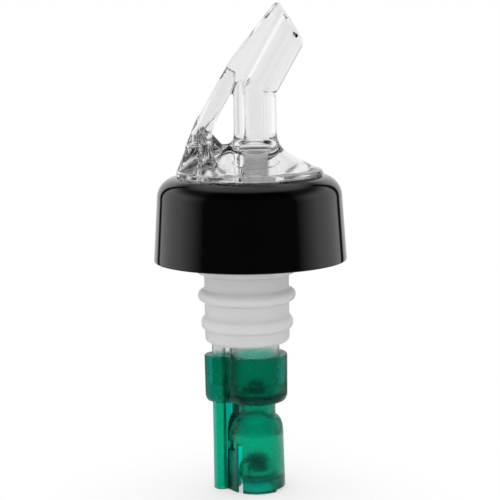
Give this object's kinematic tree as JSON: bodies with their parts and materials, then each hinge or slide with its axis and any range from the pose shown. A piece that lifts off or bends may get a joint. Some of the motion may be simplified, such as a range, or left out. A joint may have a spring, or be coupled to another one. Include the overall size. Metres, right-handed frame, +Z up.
{
  "type": "measured liquor pourer",
  "caption": "Bottle pourer with a leaning clear spout, black collar, finned stopper and a ball cage below that lets a set measure through and then shuts off.",
  "frame": {"origin": "on the stopper's axis, on the plane where the bottle's lip meets the underside of the stopper's flange", "axes": "+Z up along the stopper's axis, out of the bottle; +X the way the spout leans; the breather side is -X"},
  "size_m": [0.0413, 0.0412, 0.1051],
  "materials": {
    "clear_plastic": "clear moulded plastic, glossy",
    "black_plastic": "glossy black moulded plastic",
    "milky_plastic": "soft milky plastic, satin",
    "natural_plastic": "translucent natural plastic, satin",
    "green_plastic": "translucent green moulded plastic, glossy",
    "polished_steel": "polished stainless steel ball"
  },
  "bodies": {
    "pourer": {"spout_head": "clear_plastic", "collar": "black_plastic", "stopper": "milky_plastic", "passage_tube": "natural_plastic", "metering_cage": "green_plastic"},
    "metering_ball": {"metering_ball": "polished_steel"},
    "shutoff_ball": {"shutoff_ball": "polished_steel"},
    "breather_ball": {"breather_ball": "polished_steel"}
  },
  "joints": [
    {"name": "metering_ball_travel", "type": "slide", "parent": "pourer", "child": "metering_ball", "axis": [0, 0, 1], "range_m": [0, 0.0085]},
    {"name": "shutoff_ball_travel", "type": "slide", "parent": "pourer", "child": "shutoff_ball", "axis": [0, 0, 1], "range_m": [0, 0.034]},
    {"name": "breather_ball_travel", "type": "slide", "parent": "pourer", "child": "breather_ball", "axis": [0, 0, 1], "range_m": [0, 0.0047]}
  ]
}
